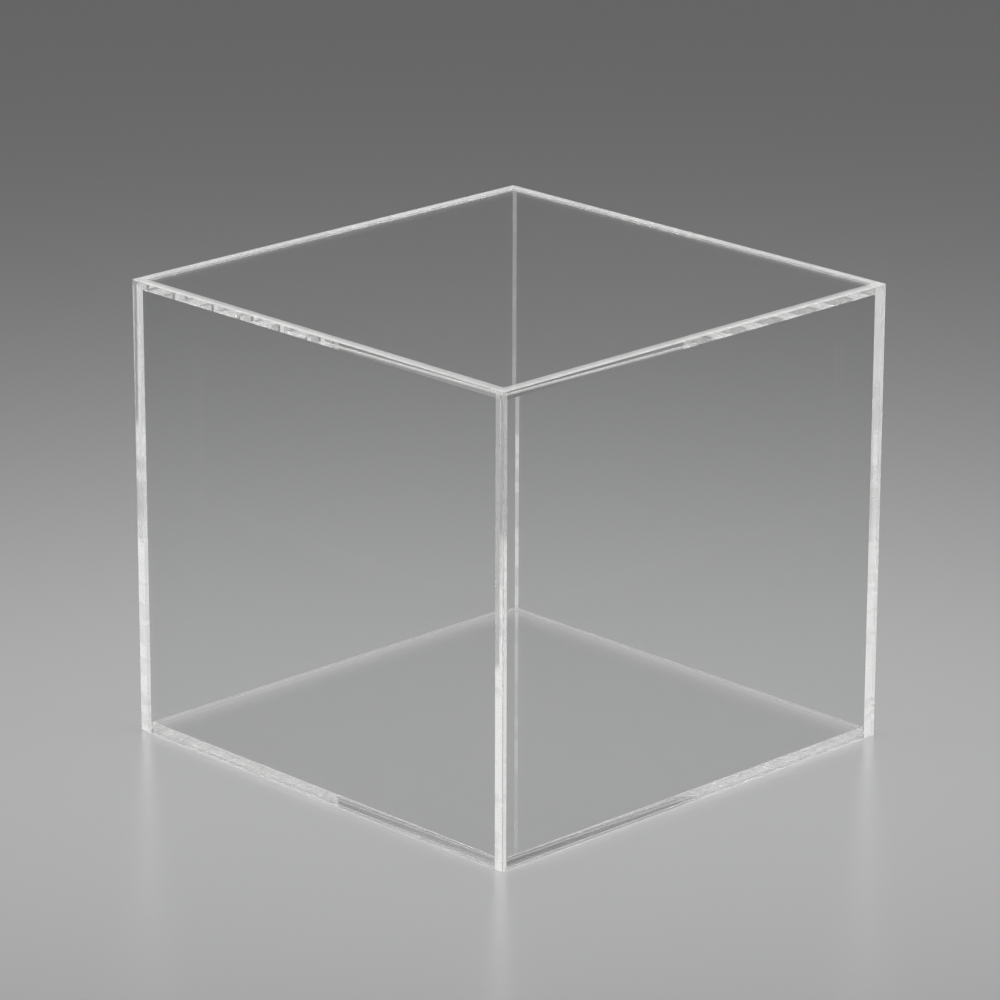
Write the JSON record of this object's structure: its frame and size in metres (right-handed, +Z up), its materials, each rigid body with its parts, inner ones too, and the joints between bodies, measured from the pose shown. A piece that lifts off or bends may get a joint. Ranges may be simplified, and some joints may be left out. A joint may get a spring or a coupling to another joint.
{
  "type": "acrylic display cube",
  "caption": "Clear acrylic display cube: a cemented cover with four walls and a top, standing over a loose base panel that holds the exhibit.",
  "frame": {"origin": "centre of the underside, on the surface the cube stands on", "axes": "+Z up, front wall faces -Y, left wall faces -X"},
  "size_m": [0.26, 0.26, 0.235],
  "materials": {
    "end_wall_acrylic": "polished clear cast acrylic sheet, diamond-polished edges",
    "side_wall_acrylic": "polished clear cast acrylic sheet, diamond-polished edges",
    "top_acrylic": "polished clear cast acrylic sheet, diamond-polished edges",
    "base_acrylic": "polished clear cast acrylic sheet, diamond-polished edges",
    "joint_cement": "cured clear acrylic cement, slightly hazy"
  },
  "bodies": {
    "base": {"base_panel": "base_acrylic"},
    "cover": {"front_wall": "end_wall_acrylic", "back_wall": "end_wall_acrylic", "left_wall": "side_wall_acrylic", "right_wall": "side_wall_acrylic", "top_panel": "top_acrylic", "front_left_joint": "joint_cement", "front_right_joint": "joint_cement", "back_left_joint": "joint_cement", "back_right_joint": "joint_cement", "top_front_joint": "joint_cement", "top_back_joint": "joint_cement", "top_left_joint": "joint_cement", "top_right_joint": "joint_cement"}
  },
  "joints": [
    {"name": "cover_lift", "type": "slide", "parent": "base", "child": "cover", "axis": [0, 0, 1], "range_m": [0, 0.245]}
  ]
}
